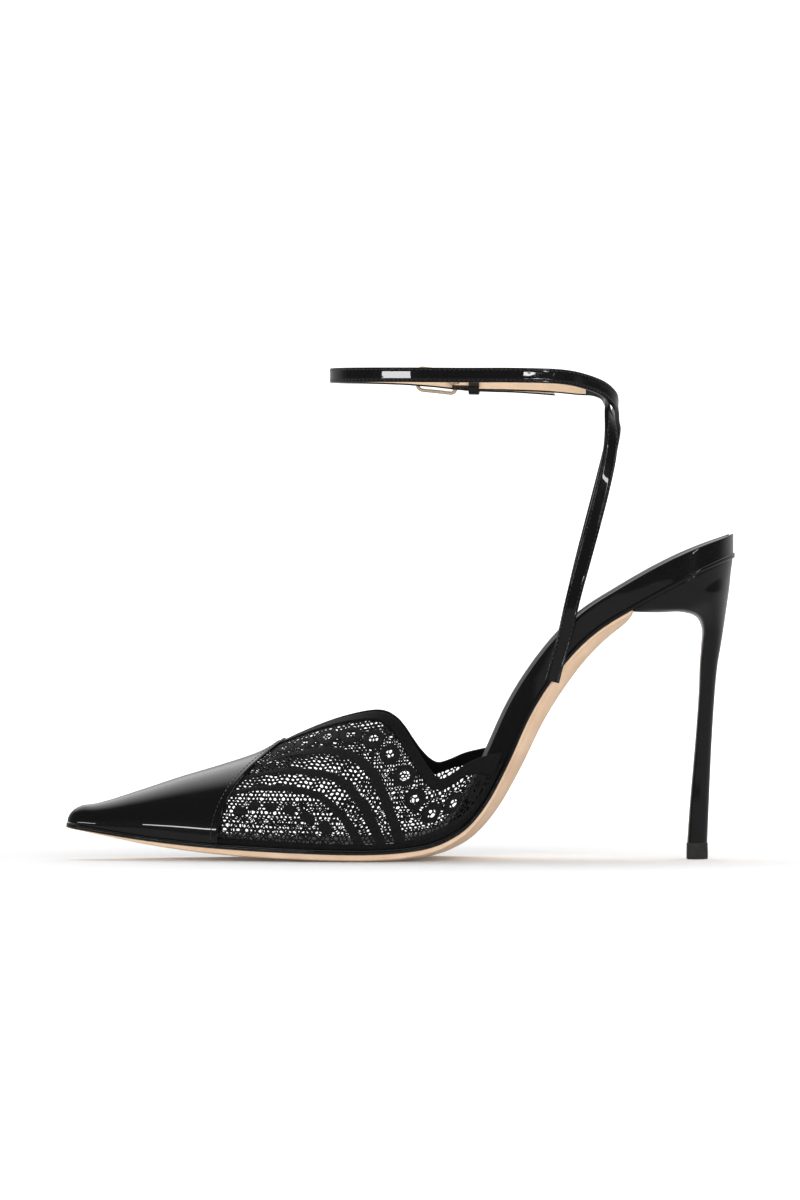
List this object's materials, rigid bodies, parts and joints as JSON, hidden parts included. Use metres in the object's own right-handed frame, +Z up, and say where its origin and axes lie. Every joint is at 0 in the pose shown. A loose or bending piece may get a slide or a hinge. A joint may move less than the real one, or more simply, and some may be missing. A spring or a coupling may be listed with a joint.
{
  "type": "ankle strap pump",
  "caption": "Right pointed-toe pump on a tall slim heel: lace vamp, patent toe cap, wrapped footbed, beige leather sole and thin straps crossed behind the ankle with a small buckle.",
  "frame": {"origin": "on the floor, in the middle of the tread under the ball of the foot", "axes": "+X from the toe to the heel, +Y to the outer (lateral) side, +Z up"},
  "size_m": [0.2228, 0.0725, 0.1655],
  "materials": {
    "sole_leather": "semi-gloss natural leather with a painted edge",
    "rand_patent": "black patent, high gloss",
    "footbed_patent": "black patent wrap with a nappa sock, gloss",
    "lace": "sheer black lace bound in matte tape",
    "cap_patent": "black patent, high gloss",
    "heel_patent": "black patent wrap, high gloss",
    "top_piece_rubber": "satin black",
    "strap_patent": "black patent, edge stitched, tan lining",
    "buckle_metal": "polished pale gold"
  },
  "bodies": {
    "root": {"outsole": "sole_leather", "rand": "rand_patent", "footbed": "footbed_patent", "upper": "lace", "toe_cap": "cap_patent", "heel": "heel_patent", "top_piece": "top_piece_rubber", "strap_inner": "strap_patent", "strap_outer": "strap_patent", "buckle_frame": "buckle_metal", "buckle_prong": "buckle_metal", "keeper": "strap_patent"}
  },
  "joints": []
}
